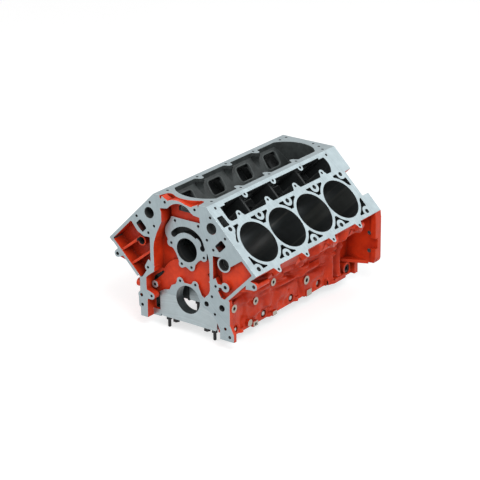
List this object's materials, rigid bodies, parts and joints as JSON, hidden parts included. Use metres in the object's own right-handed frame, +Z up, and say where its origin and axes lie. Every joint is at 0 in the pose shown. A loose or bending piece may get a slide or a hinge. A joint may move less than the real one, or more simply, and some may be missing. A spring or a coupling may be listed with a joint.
{
  "type": "engine block",
  "caption": "Bare V8 engine block: painted deep-skirt casting with machined faces, open bores and valley, and bolted main bearing caps.",
  "frame": {"origin": "on the crank axis, in the middle of the centre main bearing", "axes": "+X to the left bank, +Y along the crank to the rear, +Z up between the banks"},
  "size_m": [0.4528, 0.517, 0.3451],
  "materials": {
    "casting": "satin",
    "cap_steel": "satin",
    "black_bolt": "satin",
    "side_bolt": "satin",
    "black_plug": "satin"
  },
  "bodies": {
    "root": {"engine_block": "casting", "main_cap_1": "cap_steel", "cap_1_inner_bolts": "black_bolt", "cap_1_outer_studs": "black_bolt", "cap_1_side_bolts": "side_bolt", "main_cap_2": "cap_steel", "cap_2_inner_bolts": "black_bolt", "cap_2_outer_studs": "black_bolt", "cap_2_side_bolts": "side_bolt", "main_cap_3": "cap_steel", "cap_3_inner_bolts": "black_bolt", "cap_3_outer_studs": "black_bolt", "cap_3_side_bolts": "side_bolt", "main_cap_4": "cap_steel", "cap_4_inner_bolts": "black_bolt", "cap_4_outer_studs": "black_bolt", "cap_4_side_bolts": "side_bolt", "main_cap_5": "cap_steel", "cap_5_inner_bolts": "black_bolt", "cap_5_outer_studs": "black_bolt", "cap_5_side_bolts": "side_bolt", "skirt_plug": "black_plug"}
  },
  "joints": []
}
